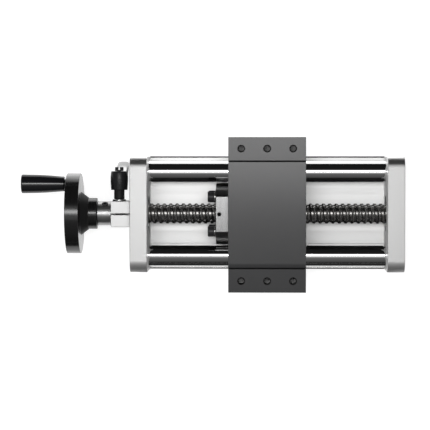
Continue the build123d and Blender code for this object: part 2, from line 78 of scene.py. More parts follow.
SCREW_Z = 33.0
SHAFT_Y, SHAFT_Z = 33.0, 37.0
HANDLE_Y = 23.2
LEVER_X, LEVER_Z = -115.5, 45.0
SCREW_LINE = Vector((0, 0, SCREW_Z))
HANDLE_LINE = Vector((0, HANDLE_Y, SCREW_Z))
LEVER_LINE = Vector((LEVER_X, 0, LEVER_Z))
UP_Y, UP_Z = (0, 1, 0), (0, 0, 1)

# Faces along the screw: of the end plates and bearings, of the clamp block, hub and wheel

INNER, OUTER = 93.0, 106.5
BEARING, BEARING_WIDTH = 93.3, 8.0
BLOCK_FACE = -121.7
HUB_FACE = -133.4
CONE_START = -140.1
WHEEL_BACK = -146.3
WHEEL_FRONT = -156.7
RIM_FRONT = -157.1
FLANGE_FACE = -40.0

# Sizes that several pieces share

TABLE_HALF_X, TABLE_HALF_Y = 30.0, 60.0
TABLE_LOW, TABLE_TOP = 54.0, 66.0
SHAFT_RADIUS = 8.0
SHAFT_END = INNER + 5.0
JOURNAL = 6.0  # radius of the screw's plain ends
SEAT = 14.0  # radius of the bushings, the bearings and the nut's body
FIT = 0.02  # play round a seated piece

# Screws: threads, the holes for an M5 head and shank, and where the groups sit

M5, M4 = 5.0, 4.0
HEAD_HOLE, HEAD_DEPTH = 4.75, 5.5
SHANK_HOLE = 2.75
BASE_SCREW_Y, BASE_SCREW_Z = 34.0, 6.0
NUT_BOLT = 19.0 * sin(radians(45))
NUT_BOLTS = [(y, SCREW_Z + z) for y in (-NUT_BOLT, NUT_BOLT) for z in (-NUT_BOLT, NUT_BOLT)]
TABLE_BOLTS = [(x, y) for x in (-10, 10) for y in (-52.5, 52.5)]
TABLE_SEAT = 20.5
FOOT_BOLTS = [(y, 16.0) for y in (-5, 5)]
WASHER = 1.3  # room for a spring washer under each nut screw


# Shapes are lists of vertices and faces

HEAD_SEGMENTS = 72
TIP_RADIUS = 0.001
WELD = 0.0005


def rounded(outline, closed=True, steps=4):
    """The outline with its corners rounded: its points are (a, b) or (a, b, radius)."""
    points = []
    last = len(outline) - 1
    for i, corner in enumerate(outline):
        here = Vector(corner[:2])
        if len(corner) < 3 or (not closed and i in (0, last)):
            points.append(tuple(here))
            continue
        into = Vector(outline[i - 1][:2]) - here
        out = Vector(outline[(i + 1) % (last + 1)][:2]) - here
        half = into.angle(out) / 2
        reach = min(corner[2] / tan(half), 0.49 * into.length, 0.49 * out.length)
        start = here + into.normalized() * reach
        stop = here + out.normalized() * reach
        centre = here + (into.normalized() + out.normalized()).normalized() * reach / cos(half)
        first, second = start - centre, stop - centre
        turn = first.angle(second)
        for k in range(steps + 1):
            t = k / steps
            arm = (first * sin((1 - t) * turn) + second * sin(t * turn)) / sin(turn)
            points.append(tuple(centre + arm))
    return points


def rings(levels, closed=False):
    """Skins level after level of equally many points; caps the ends, or joins them if closed."""
    verts = [point for ring in levels for point in ring]
    n = len(levels[0])
    count = len(levels)
    faces = []
    for i in range(count if closed else count - 1):
        a, b = i * n, ((i + 1) % count) * n
        faces += [(a + k, a + (k + 1) % n, b + (k + 1) % n, b + k) for k in range(n)]
    if not closed:
        faces += [tuple(range(n)), tuple((count - 1) * n + k for k in range(n))]
    return verts, faces


def level(x, radius, segments=HEAD_SEGMENTS):
    """One ring round X, of a fixed radius or of a radius for each step."""
    ring = []
    for k in range(segments):
        r = radius(k) if callable(radius) else radius
        ring.append((x, r * cos(2 * pi * k / segments), r * sin(2 * pi * k / segments)))
    return ring


def lathe(outline, segments=96, closed=False):
    """A body turned about X from (x, radius) points; one with a bore has a closed outline."""
    return rings([level(x, max(r, TIP_RADIUS), segments) for x, r in outline], closed)


def inset(outline, depth):
    """The outline moved inwards; it runs anticlockwise."""
    points = []
    n = len(outline)
    for i in range(n):
        before, here, after = (Vector(outline[(i + k) % n]) for k in (-1, 0, 1))
        into = (here - before).normalized()
        out = (after - here).normalized()
        side = Vector((-into.y, into.x)) + Vector((-out.y, out.x))
        length = max(side.length, 0.5)
        points.append(tuple(here + side * (2 * depth / length**2)))
    return points


def extruded(outline, start, stop, bevel=0.3, steps=3):
    """A solid along X from a (y, z) outline, with rounded rims."""
    stations = []
    for k in range(steps + 1):
        angle = pi / 2 * k / steps
        stations.append((bevel * (1 - cos(angle)), bevel * (1 - sin(angle))))
    levels = []
    for depth, shrink in stations:
        levels.append([(start + depth, y, z) for y, z in inset(outline, shrink)])
    for depth, shrink in reversed(stations):
        levels.append([(stop - depth, y, z) for y, z in inset(outline, shrink)])
    return rings(levels)


def placed(shape, origin=(0, 0, 0), axis=(1, 0, 0), spin=0.0):
    """The shape with its X axis laid along axis, and its own origin at origin."""
    turn = Vector((1, 0, 0)).rotation_difference(Vector(axis)).to_matrix()
    turn = turn @ Matrix.Rotation(spin, 3, "X")
    return [tuple(Vector(origin) + turn @ Vector(v)) for v in shape[0]], shape[1]


def joined(*shapes):
    """Several shapes as one."""
    verts, faces = [], []
    for shape in shapes:
        base = len(verts)
        verts += shape[0]
        faces += [tuple(base + i for i in f) for f in shape[1]]
    return verts, faces


def drill(start, stop, radius, origin, axis=(1, 0, 0), segments=64):
    """A round cutter along an axis, its two ends measured from the origin."""
    outline = [(start, 0), (start, radius), (stop, radius), (stop, 0)]
    return placed(lathe(outline, segments), origin, axis)


def made(name, shape):
    """A Blender object of the shape, in metres, its faces turned outwards."""
    verts, faces = shape
    mesh = bpy.data.meshes.new(name)
    mesh.from_pydata([Vector(v) * MM for v in verts], [], faces)
    bm = bmesh.new()
    bm.from_mesh(mesh)
    bmesh.ops.remove_doubles(bm, verts=bm.verts, dist=WELD * MM)
    bmesh.ops.recalc_face_normals(bm, faces=bm.faces)
    bm.to_mesh(mesh)
    bm.free()
    return linked(name, mesh)


def carved(obj, *cutters):
    """Takes the cutters' shapes out of the object."""
    for shape in cutters:
        tool = made("cutter", shape)
        step = obj.modifiers.new("cut", "BOOLEAN")
        step.object = tool
        step.operation = "DIFFERENCE"
        step.solver = "EXACT"
        bpy.context.view_layer.update()
        depsgraph = bpy.context.evaluated_depsgraph_get()
        result = bpy.data.meshes.new_from_object(obj.evaluated_get(depsgraph))
        obj.modifiers.clear()
        obj.data = result
        bpy.data.objects.remove(tool)
    return obj


SMOOTH_ANGLE = radians(32)


def piece(obj, look, body, slot, *nodes):
    """Finishes a piece: its shading, finish, body and the nodes that it replaces; the slot is not
    used.
    """
    obj.data.shade_smooth()
    obj.data.set_sharp_from_angle(angle=SMOOTH_ANGLE)
    flats = obj.modifiers.new("flats", "WEIGHTED_NORMAL")
    flats.mode = "FACE_AREA"
    flats.weight = 100
    flats.keep_sharp = True
    obj.data.materials.clear()
    obj.data.materials.append(finish[look])
    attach(obj, body)
    if nodes:
        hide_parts(*nodes)
    return obj


def refaced(obj, look, chosen):
    """Gives another finish to the faces whose centre, in millimetres, is chosen."""
    obj.data.materials.append(finish[look])
    last = len(obj.data.materials) - 1
    for face in obj.data.polygons:
        if chosen(face.center / MM):
            face.material_index = last


# Finishes

def surface(
    name,
    colour,
    rough,
    metal=0.0,
    grain=(1, 1, 1),
    scale=900.0,
    relief=0.02,
    spread=0.06,
    shade=0.06,
    coat=0.0,
    specular=0.5,
    edge=0.25,
):
    """A finish with fine grain in its colour, roughness and relief.

    The grain vector stretches it along an axis. The relief, and the radius that edges are
    softened with, are in millimetres.
    """
    material = bpy.data.materials.new(name)
    material.use_nodes = True
    tree = material.node_tree
    link = tree.links.new
    shader = tree.nodes["Principled BSDF"]
    shader.inputs["Metallic"].default_value = metal
    shader.inputs["Coat Weight"].default_value = coat
    shader.inputs["Coat Roughness"].default_value = 0.12
    shader.inputs["Specular IOR Level"].default_value = specular
    where = tree.nodes.new("ShaderNodeTexCoord")
    stretch = tree.nodes.new("ShaderNodeMapping")
    stretch.inputs["Scale"].default_value = grain
    link(where.outputs["Object"], stretch.inputs["Vector"])
    fine = tree.nodes.new("ShaderNodeTexNoise")
    fine.inputs["Scale"].default_value = scale
    fine.inputs["Detail"].default_value = 5.0
    fine.inputs["Roughness"].default_value = 0.62
    link(stretch.outputs["Vector"], fine.inputs["Vector"])
    broad = tree.nodes.new("ShaderNodeTexNoise")
    broad.inputs["Scale"].default_value = 26.0
    broad.inputs["Detail"].default_value = 3.0
    link(where.outputs["Object"], broad.inputs["Vector"])
    both = tree.nodes.new("ShaderNodeMath")
    both.operation = "MULTIPLY_ADD"
    both.inputs[1].default_value = 0.65
    link(fine.outputs["Fac"], both.inputs[0])
    part = tree.nodes.new("ShaderNodeMath")
    part.operation = "MULTIPLY"
    part.inputs[1].default_value = 0.35
    link(broad.outputs["Fac"], part.inputs[0])
    link(part.outputs[0], both.inputs[2])
    tint = tree.nodes.new("ShaderNodeValToRGB")
    tint.color_ramp.elements[0].position = 0.3
    tint.color_ramp.elements[1].position = 0.7
    tint.color_ramp.elements[0].color = (*[c * (1 - shade) for c in colour], 1)
    tint.color_ramp.elements[1].color = (*[min(c * (1 + shade), 1.0) for c in colour], 1)
    link(both.outputs[0], tint.inputs["Fac"])
    link(tint.outputs["Color"], shader.inputs["Base Color"])
    polish = tree.nodes.new("ShaderNodeMapRange")
    polish.inputs["From Min"].default_value = 0.3
    polish.inputs["From Max"].default_value = 0.7
    polish.inputs["To Min"].default_value = max(rough - spread, 0.02)
    polish.inputs["To Max"].default_value = rough + spread
    link(both.outputs[0], polish.inputs["Value"])
    link(polish.outputs["Result"], shader.inputs["Roughness"])
    bump = tree.nodes.new("ShaderNodeBump")
    bump.inputs["Strength"].default_value = 0.5
    bump.inputs["Distance"].default_value = relief * MM
    link(fine.outputs["Fac"], bump.inputs["Height"])
    if edge:
        softened = tree.nodes.new("ShaderNodeBevel")
        softened.samples = 4
        softened.inputs["Radius"].default_value = edge * MM
        link(softened.outputs["Normal"], bump.inputs["Normal"])
    link(bump.outputs["Normal"], shader.inputs["Normal"])
    return material


ALONG_X = (0.04, 1, 1)
ROUND_X = (1, 0.04, 0.04)
MATTE = dict(scale=3200, relief=0.008, spread=0.02, shade=0.015)
BASE_RIM = dict(
    metal=1, grain=ALONG_X, scale=2600, relief=0.001, spread=0.02, shade=0.02, edge=0
)
ANODISED = dict(rough=0.21, scale=3000, relief=0.006, spread=0.02, shade=0.10, edge=0.08)
NUT_FACE = dict(metal=1, scale=2200, relief=0.004, spread=0.04, shade=0.06)
FINISHES = {
    "base_aluminium": dict(
        colour=(0.65, 0.65, 0.647),
        rough=0.45,
        metal=0.7,
        grain=ALONG_X,
        scale=2600,
        relief=0.006,
        spread=0.03,
        shade=0.03,
    ),
    # Painted light: a lighter, smoother copy of the base finish for the front land's strip, which
    # the front shaft shades
    "base_front_land_painted_light": dict(BASE_RIM, colour=(0.92, 0.92, 0.915), rough=0.22),
    # Painted shade: a dark copy of the base finish draws a dark line along the sloped upper edges
    "base_edge_painted_shade": dict(BASE_RIM, colour=(0.20, 0.20, 0.199), rough=0.16),
    "plate_aluminium": dict(MATTE, colour=(0.585, 0.585, 0.582), rough=0.53, metal=1),
    # Painted shade: a darker, smoother copy of the plate finish for the rear top corners only
    "plate_corner_painted_shade": dict(MATTE, colour=(0.50, 0.50, 0.497), rough=0.35, metal=1),
    # Painted light: a lighter, mostly diffuse copy of the plate finish for the plates' inner faces,
    # which lie in shade
    "plate_inner_painted_light": dict(MATTE, colour=(0.88, 0.88, 0.875), rough=0.34, metal=0.1),
    "clamp_aluminium": dict(MATTE, colour=(0.65, 0.65, 0.647), rough=0.53, metal=1),
    "block_aluminium": dict(
        colour=(0.56, 0.56, 0.555),
        rough=0.5,
        metal=0.5,
        scale=3200,
        relief=0.008,
        spread=0.03,
        shade=0.03,
    ),
    "table_anodised": dict(ANODISED, colour=(0.034, 0.034, 0.035), specular=0.30),
    "table_wing": dict(ANODISED, colour=(0.026, 0.026, 0.027), specular=0.28),
    # Painted shade: near black, for the table's grooves and threaded holes and the nut's oil port,
    # where shade falls
    "painted_recess_shade": dict(
        colour=(0.010, 0.010, 0.010), rough=0.8, scale=3000, relief=0.006, specular=0.10
    ),
    "drilled_bottom": dict(
        colour=(0.27, 0.27, 0.27), rough=0.45, metal=0.2, scale=3000, relief=0.01
    ),
    "ground_shaft": dict(
        colour=(0.65, 0.65, 0.65),
        rough=0.035,
        metal=1,
        grain=ROUND_X,
        scale=5000,
        relief=0.0002,
        spread=0.015,
        shade=0.015,
        edge=0,
    ),
    "screw_steel": dict(
        colour=(0.20, 0.195, 0.19),
        rough=0.25,
        metal=1,
        scale=1500,
        relief=0.02,
        spread=0.08,
        shade=0.25,
        edge=0,
    ),
    # Painted shade: a darker, rougher copy of the nut finish for the flange's round sides, dimming
    # their reflections
    "nut_side_painted_shade": dict(NUT_FACE, colour=(0.14, 0.14, 0.14), rough=0.32),
    "nut_steel": dict(NUT_FACE, colour=(0.16, 0.16, 0.16), rough=0.24),
    "bearing_steel": dict(
        colour=(0.62, 0.62, 0.62), rough=0.25, metal=1, scale=2200, relief=0.006
    ),
    "spring_steel": dict(
        colour=(0.20, 0.20, 0.20), rough=0.30, metal=1, scale=2200, relief=0.01
    ),
    "washer_steel": dict(
        colour=(0.34, 0.34, 0.335), rough=0.20, metal=1, scale=1800, relief=0.02
    ),
    "sleeve_steel": dict(
        colour=(0.35, 0.35, 0.35),
        rough=0.36,
        metal=1,
        grain=ROUND_X,
        scale=5000,
        relief=0.004,
    ),
    "black_steel": dict(
        colour=(0.016, 0.016, 0.017),
        rough=0.34,
        scale=1800,
        relief=0.02,
        specular=0.24,
        shade=0.3,
    ),
    "wheel_resin": dict(
        colour=(0.006, 0.006, 0.006),
        rough=0.18,
        grain=(1, 0.03, 0.03),
        scale=3600,
        relief=0.010,
        spread=0.04,
        shade=0.25,
        specular=0.55,
    ),
    "wheel_cast": dict(
        colour=(0.008, 0.008, 0.008),
        rough=0.5,
        scale=2400,
        relief=0.02,
        spread=0.05,
        shade=0.25,
        specular=0.14,
    ),
    "handle_resin": dict(
        colour=(0.006, 0.006, 0.007),
        rough=0.13,
        scale=1300,
        relief=0.004,
        spread=0.04,
        shade=0.2,
        specular=0.5,
    ),
    "lever_arm": dict(
        colour=(0.010, 0.010, 0.011),
        rough=0.2,
        scale=1700,
        relief=0.008,
        spread=0.04,
        shade=0.2,
        specular=1.3,
        coat=1,
    ),
    "lever_resin": dict(
        colour=(0.008, 0.008, 0.009),
        rough=0.27,
        scale=1700,
        relief=0.012,
        spread=0.05,
        shade=0.2,
        specular=0.20,
    ),
}
finish = {name: surface(name, **looks) for name, looks in FINISHES.items()}


# Fasteners

HEX = 6


def hexagon(flat, k):
    """Radius of a hexagon at step k, from half its width across flats."""
    step = 2 * pi / HEX
    return flat / cos((2 * pi * k / HEAD_SEGMENTS) % step - step / 2)


def cap_screw(thread, shank):
    """A knurled cap screw with a hexagon socket; its seat is at 0 and its head points along X."""
    height = thread  # a cap screw's head is as high as its thread is wide
    head = (1.5 * thread + 1.0) / 2
    socket = 0.4 * thread

    def knurl(k):
        return head - 0.028 * thread * (k % 2)

    return rings(
        [
            level(-shank, thread / 2 - 0.3),
            level(-shank + 0.4, thread / 2),
            level(0, thread / 2),
            level(0, head - 0.25),
            level(0.2, head),
            level(0.35, knurl),
            level(height - 0.75, knurl),
            level(height - 0.55, head),
            level(height - 0.35, head - 0.05),
            level(height - 0.12, head - 0.22),
            level(height, head - 0.5),
            level(height, socket * 1.22),
            level(height - 0.12, lambda k: hexagon(socket + 0.06, k)),
            level(height - 0.3, lambda k: hexagon(socket, k)),
            level(height - 0.5 * height, lambda k: hexagon(socket, k)),
            level(height - 0.55 * height, 0.6 * socket),
            level(height - 0.62 * height, 0.05),
        ]
    )


def screws(name, thread, shank, seats, body, node):
    """A group of equal cap screws, each with its seat and the way its head points."""
    shapes = [
        placed(cap_screw(thread, shank), seat, direction, spin=0.4 + 1.3 * i)
        for i, (seat, direction) in enumerate(seats)
    ]
    piece(made(name, joined(*shapes)), "black_steel", body, "black_steel", node)


for label, node, y, z, shank in (
    ("base_cap_screws", "base_screws", BASE_SCREW_Y, BASE_SCREW_Z, 25.0),
    ("shaft_cap_screws", "shaft_screws", SHAFT_Y, SHAFT_Z, 15.0),
):
    seats = [
        ((side * (OUTER - HEAD_DEPTH), s * y, z), (side, 0, 0))
        for side in (-1, 1)
        for s in (-1, 1)
    ]
    screws(label, M5, shank, seats, "frame", node)
seats = [((FLANGE_FACE - WASHER, y, z), (-1, 0, 0)) for y, z in NUT_BOLTS]
screws("nut_cap_screws", M5, 22.0, seats, "carriage", "nut_screws")
seats = [((x, y, TABLE_SEAT), (0, 0, -1)) for x, y in TABLE_BOLTS]
screws("table_cap_screws", M5, 41.0, seats, "carriage", "table_screws")
seats = [((BLOCK_FACE, y, z), (-1, 0, 0)) for y, z in FOOT_BOLTS]
screws("foot_cap_screws", M4, 24.0, seats, "frame", "clamp_block_screws")

WASHER_STEPS = 64
WASHER_PLAY = 0.12


def spring_washer(bore, outer, thick, gap=0.16, twist=0.12):
    """A split spring washer round X from 0 to its thickness, its ends a little apart."""
    section = rounded(
        [(0, bore, 0.2), (thick, bore, 0.2), (thick, outer, 0.3), (0, outer, 0.3)], steps=2
    )
    levels = []
    for k in range(WASHER_STEPS + 1):
        t = k / WASHER_STEPS
        angle = gap + (2 * pi - 2 * gap) * t
        lift = twist * (t - 0.5)
        levels.append([(x + lift, r * cos(angle), r * sin(angle)) for x, r in section])
    return rings(levels)


split_washer = spring_washer(SHANK_HOLE, 4.4, WASHER - WASHER_PLAY)
washers = [
    placed(split_washer, (FLANGE_FACE - WASHER + WASHER_PLAY / 2, y, z), spin=0.9 * i)
    for i, (y, z) in enumerate(NUT_BOLTS)
]
obj = made("split_washers", joined(*washers))
piece(obj, "washer_steel", "carriage", "washer_steel", "nut_spring_washers")


# Ball screw: a right-hand round groove, 5 mm lead, cut off square at both bearings

LEAD = 5.0
LAND_RADIUS = 7.9
LAND_HALF, LAND_EDGE, LAND_DROP = 0.70, 0.80, 0.02
GROOVE_RADIUS = 1.72
GROOVE_CENTRE = 8.35
GROOVE_BEND, BEND_STEP, BEND_COUNT = 72, 14.4, 11
TURN_STEPS = 72
profile = [(0.0, LAND_RADIUS), (LAND_HALF, LAND_RADIUS), (LAND_EDGE, LAND_RADIUS - LAND_DROP)]
for k in range(BEND_COUNT):
    bend = radians(-GROOVE_BEND + BEND_STEP * k)
    x = LEAD / 2 + GROOVE_RADIUS * sin(bend)
    profile.append((x, GROOVE_CENTRE - GROOVE_RADIUS * cos(bend)))
profile += [(LEAD - LAND_EDGE, LAND_RADIUS - LAND_DROP), (LEAD - LAND_HALF, LAND_RADIUS)]
steps = int((2 * BEARING + 2 * LEAD) / LEAD * TURN_STEPS)
across = len(profile)
thread_verts, thread_faces = [], []
for k in range(steps + 1):
    angle = 2 * pi * k / TURN_STEPS
    start = -BEARING - 1.5 * LEAD + LEAD * k / TURN_STEPS
    for x, r in profile:
        thread_verts.append((start + x, r * cos(angle), SCREW_Z + r * sin(angle)))
for k in range(steps):
    here, after, next_turn = k * across, (k + 1) * across, (k + TURN_STEPS) * across
    for j in range(across - 1):
        thread_faces.append((here + j, here + j + 1, after + j + 1, after + j))
    if k + 1 + TURN_STEPS <= steps:
        j = across - 1
        thread_faces.append((here + j, next_turn, next_turn + across, after + j))
mesh = bpy.data.meshes.new("thread")
mesh.from_pydata([Vector(v) * MM for v in thread_verts], [], thread_faces)
bm = bmesh.new()
bm.from_mesh(mesh)
for side in (-1, 1):
    cut = bmesh.ops.bisect_plane(
        bm,
        geom=bm.verts[:] + bm.edges[:] + bm.faces[:],
        plane_co=(side * BEARING * MM, 0, 0),
        plane_no=(side, 0, 0),
        clear_outer=True,
        dist=1e-7,
    )
    rim = [e for e in cut["geom_cut"] if isinstance(e, bmesh.types.BMEdge)]
    bmesh.ops.edgeloop_fill(bm, edges=rim)
bmesh.ops.recalc_face_normals(bm, faces=bm.faces)
bm.to_mesh(mesh)
bm.free()
screw = linked("ball_screw_thread", mesh)
piece(screw, "screw_steel", "screw", "screw_steel", "ball_screw")
DRIVE_TIP, IDLE_TIP = WHEEL_FRONT + 5.2, OUTER - 0.3
journals = [
    lathe(rounded(outline, closed=False))
    for outline in (
        [(DRIVE_TIP, 0), (DRIVE_TIP, JOURNAL, 0.7), (-BEARING, JOURNAL), (-BEARING, 0)],
        [(BEARING, 0), (BEARING, JOURNAL), (IDLE_TIP, JOURNAL, 0.7), (IDLE_TIP, 0)],
    )
]
obj = made("ball_screw_journals", placed(joined(*journals), SCREW_LINE))
piece(obj, "sleeve_steel", "screw", "screw_steel")


# Ball nut: flange with two flats, round body and an oil port

FLANGE, FLATS, NUT_BORE = 24.0, 19.8, 8.3
FLANGE_BACK = FLANGE_FACE + 10
ARC_STEPS = 48
NUT_START, NUT_END = -30.5, 10.0
OIL_X, OIL_RADIUS, OIL_LOW, OIL_HIGH = FLANGE_FACE + 2.8, 1.6, 14, 21
flange_ends = (FLANGE_FACE - 1, FLANGE_BACK + 1)
outline = []
for start in (-1, 1):
    for k in range(ARC_STEPS + 1):
        angle = start * pi / 2 + pi / 2 + (2 * k / ARC_STEPS - 1) * asin(FLATS / FLANGE)
        outline.append((FLANGE * cos(angle), SCREW_Z + FLANGE * sin(angle)))
nut = carved(
    made("nut_flange", extruded(outline, FLANGE_FACE, FLANGE_BACK, 0.5, 2)),
    drill(*flange_ends, NUT_BORE, SCREW_LINE, segments=96),
    drill(OIL_LOW, OIL_HIGH, OIL_RADIUS, (OIL_X, 0, SCREW_Z), UP_Z, 48),
    *(drill(*flange_ends, SHANK_HOLE, (0, y, z), segments=32) for y, z in NUT_BOLTS),
)


def in_port(c):
    return abs(c.y) < 1.7 and abs(c.x - OIL_X) < 1.7 and 46.5 < c.z < 52.6


def on_round_side(c):
    return hypot(c.y, c.z - SCREW_Z) > FLANGE - 0.6 and abs(c.y) > 14


piece(nut, "nut_steel", "carriage", "nut_steel", "ball_nut")
# Painted shade in the nut's oil port
refaced(nut, "painted_recess_shade", in_port)
# Painted shade on the flange's round sides
refaced(nut, "nut_side_painted_shade", on_round_side)
outline = [(NUT_START, 0), (NUT_START, SEAT), (NUT_END, SEAT, 0.8), (NUT_END, 0)]
body_shape = lathe(rounded(outline, closed=False), 128)
nut_body = carved(
    made("nut_body", placed(body_shape, SCREW_LINE)),
    drill(NUT_START - 1.5, NUT_END + 2, NUT_BORE, SCREW_LINE, segments=96),
)
piece(nut_body, "nut_steel", "carriage", "nut_steel")


# Guide shafts, with a tapped hole in each end

TAP, TAP_DEPTH = 2.55, 14
outline = [
    (-SHAFT_END, 0),
    (-SHAFT_END, SHAFT_RADIUS, 0.5),
    (SHAFT_END, SHAFT_RADIUS, 0.5),
    (SHAFT_END, 0),
]
shaft = lathe(rounded(outline, closed=False), 128)
for label, node, y in (
    ("front_shaft", "front_guide_shaft", -SHAFT_Y),
    ("rear_shaft", "rear_guide_shaft", SHAFT_Y),
):
    line = (0, y, SHAFT_Z)
    taps = [
        drill(side * (SHAFT_END + 1), side * (SHAFT_END - TAP_DEPTH), TAP, line, segments=32)
        for side in (-1, 1)
    ]
    obj = carved(made(label, placed(shaft, line)), *taps)
    piece(obj, "ground_shaft", "frame", "ground_shaft", node)


# End plates: a bearing seat with a lip, blind holes for the shafts, and holes for screw heads

PLATE_HALF = 45.0
PLATE_TOP = 62.0
PLATE_CORNER = 9.3
LIP = 9.4
FOOT_TAP, FOOT_TAP_DEPTH = 2.05, 11
plate_outline = rounded(
    [
        (-PLATE_HALF, 0, 0.6),
        (PLATE_HALF, 0, 0.6),
        (PLATE_HALF, PLATE_TOP, PLATE_CORNER),
        (-PLATE_HALF, PLATE_TOP, PLATE_CORNER),
    ],
    steps=14,
)


def on_inner_face(c):
    return abs(abs(c.x) - INNER) < 0.01


def on_rear_corner(c):
    return c.y > PLATE_HALF - PLATE_CORNER * 0.72 and INNER < abs(c.x) < OUTER and c.z > 45


for side, label, node in (
    (-1, "drive_plate", "drive_end_plate"),
    (1, "idle_plate", "idle_end_plate"),
):
    low, high = sorted((side * INNER, side * OUTER))
    inside, outside = side * (INNER - 1), side * (OUTER + 1)
    cutters = [
        drill(inside, outside, LIP, SCREW_LINE),
        drill(inside, side * (BEARING + BEARING_WIDTH), SEAT + FIT, SCREW_LINE),
    ]
    for s in (-1, 1):
        shaft_line = (0, s * SHAFT_Y, SHAFT_Z)
        base_line = (0, s * BASE_SCREW_Y, BASE_SCREW_Z)
        cutters.append(drill(inside, side * SHAFT_END, SHAFT_RADIUS + FIT, shaft_line))
        for line in (shaft_line, base_line):
            cutters.append(drill(outside, side * (OUTER - HEAD_DEPTH), HEAD_HOLE, line))
    if side < 0:
        for y, z in FOOT_BOLTS:
            end = -OUTER + FOOT_TAP_DEPTH
            cutters.append(drill(outside, end, FOOT_TAP, (0, y, z), segments=24))
    plate = carved(made(label, extruded(plate_outline, low, high, 0.5)), *cutters)
    piece(plate, "plate_aluminium", "frame", "plate_aluminium", node)
    # Painted light on the inner faces, which lie in shade
    refaced(plate, "plate_inner_painted_light", on_inner_face)
    # Painted shade on the rear top corners
    refaced(plate, "plate_corner_painted_shade", on_rear_corner)


# Carriage block: three bores, recesses for the table's screws and threads for the nut's

BLOCK_HALF, BLOCK_LOW = 58, 15
NUT_ROOM = 14.1
NUT_TAP, NUT_TAP_END = 2.6, -16
block_outline = rounded(
    [
        (-BLOCK_HALF, BLOCK_LOW, 0.5),
        (BLOCK_HALF, BLOCK_LOW, 0.5),
        (BLOCK_HALF, TABLE_LOW, 0.5),
        (-BLOCK_HALF, TABLE_LOW, 0.5),
    ]
)
block_ends = (-TABLE_HALF_X - 1, TABLE_HALF_X + 1)
cutters = [
    drill(*block_ends, SEAT + FIT, (0, y, SHAFT_Z), segments=96) for y in (-SHAFT_Y, SHAFT_Y)
]
cutters.append(drill(*block_ends, NUT_ROOM, SCREW_LINE, segments=96))
recess = lathe(
    [
        (BLOCK_LOW - 1, 0),
        (BLOCK_LOW - 1, HEAD_HOLE),
        (TABLE_SEAT, HEAD_HOLE),
        (TABLE_SEAT, SHANK_HOLE),
        (TABLE_LOW + 1, SHANK_HOLE),
        (TABLE_LOW + 1, 0),
    ],
    32,
)
cutters += [placed(recess, (x, y, 0), UP_Z) for x, y in TABLE_BOLTS]
cutters += [
    drill(block_ends[0], NUT_TAP_END, NUT_TAP, (0, y, z), segments=24) for y, z in NUT_BOLTS
]
block = carved(made("block", extruded(block_outline, -TABLE_HALF_X, TABLE_HALF_X, 0.4)), *cutters)
piece(block, "block_aluminium", "carriage", "block_aluminium", "carriage_block")


# Linear bushings, with a dark seal set in at both ends

BUSHING_HALF = 18.5
SEAL_HALF, SEAL_RADIUS = 17.8, 11.8
SEAL_BORE = SHAFT_RADIUS + 0.05
bushing = lathe(
    rounded(
        [
            (-BUSHING_HALF, SEAL_RADIUS, 0.2),
            (-BUSHING_HALF, SEAT, 0.5),
            (BUSHING_HALF, SEAT, 0.5),
            (BUSHING_HALF, SEAL_RADIUS, 0.2),
            (SEAL_HALF, SEAL_RADIUS),
            (SEAL_HALF, SEAL_BORE, 0.3),
            (-SEAL_HALF, SEAL_BORE, 0.3),
            (-SEAL_HALF, SEAL_RADIUS),
        ],
        steps=2,
    ),
    closed=True,
)
pair = joined(*(placed(bushing, (0, y, SHAFT_Z)) for y in (-SHAFT_Y, SHAFT_Y)))
bushings = made("bushings", pair)
piece(bushings, "bearing_steel", "carriage", "bearing_steel", "linear_bushings")
refaced(bushings, "wheel_cast", lambda c: SEAL_HALF - 0.2 < abs(c.x) < SEAL_HALF + 0.1)


# Bearings: outer ring, shield and inner ring

SHIELD_DEPTH = 0.5


def bearing(start):
    """A shielded ball bearing round X."""
    stop = start + BEARING_WIDTH
    inner = JOURNAL + FIT
    lip = 0.24 * (SEAT - inner)
    return lathe(
        rounded(
            [
                (start, inner, 0.3),
                (start, inner + lip, 0.15),
                (start + SHIELD_DEPTH, inner + lip),
                (start + SHIELD_DEPTH, SEAT - lip),
                (start, SEAT - lip, 0.15),
                (start, SEAT, 0.4),
                (stop, SEAT, 0.4),
                (stop, SEAT - lip, 0.15),
                (stop - SHIELD_DEPTH, SEAT - lip),
                (stop - SHIELD_DEPTH, inner + lip),
                (stop, inner + lip, 0.15),
                (stop, inner, 0.3),
            ],
            steps=2,
        ),
        closed=True,
    )


pair = joined(bearing(-BEARING - BEARING_WIDTH), bearing(BEARING))
obj = made("shielded_bearings", placed(pair, SCREW_LINE))
piece(obj, "bearing_steel", "frame", "bearing_steel", "ball_bearings")


# Base plate: a shallow channel, sloped upper edges and four tapped holes from below

BASE_HALF, BASE_TOP = 44.8, 12.2
EDGE_LOW, EDGE_WIDE = 11.55, 1.05
CHANNEL_HALF, CHANNEL_FLOOR = 24.4, 11.0
# LAND_END splits the front land's top face where its painted light begins
LAND_END = 39.0
BASE_HOLES = [(x, y) for x in (-70, 70) for y in (-33, 33)]
base_outline = rounded(
    [
        (-BASE_HALF, 0, 0.5),
        (BASE_HALF, 0, 0.5),
        (BASE_HALF, EDGE_LOW, 0.1),
        (BASE_HALF - EDGE_WIDE, BASE_TOP, 0.1),
        (CHANNEL_HALF, BASE_TOP, 0.25),
        (CHANNEL_HALF, CHANNEL_FLOOR),
        (-CHANNEL_HALF, CHANNEL_FLOOR),
        (-CHANNEL_HALF, BASE_TOP, 0.25),
        (-LAND_END, BASE_TOP),
        (-BASE_HALF + EDGE_WIDE, BASE_TOP, 0.1),
        (-BASE_HALF, EDGE_LOW, 0.1),
    ]
)
tapped = lathe([(-1, 0), (-1, 2.9), (0.4, 2.5), (9, 2.5), (10, 0)], 48)
holes = [placed(tapped, (x, y, 0), UP_Z) for x, y in BASE_HOLES]
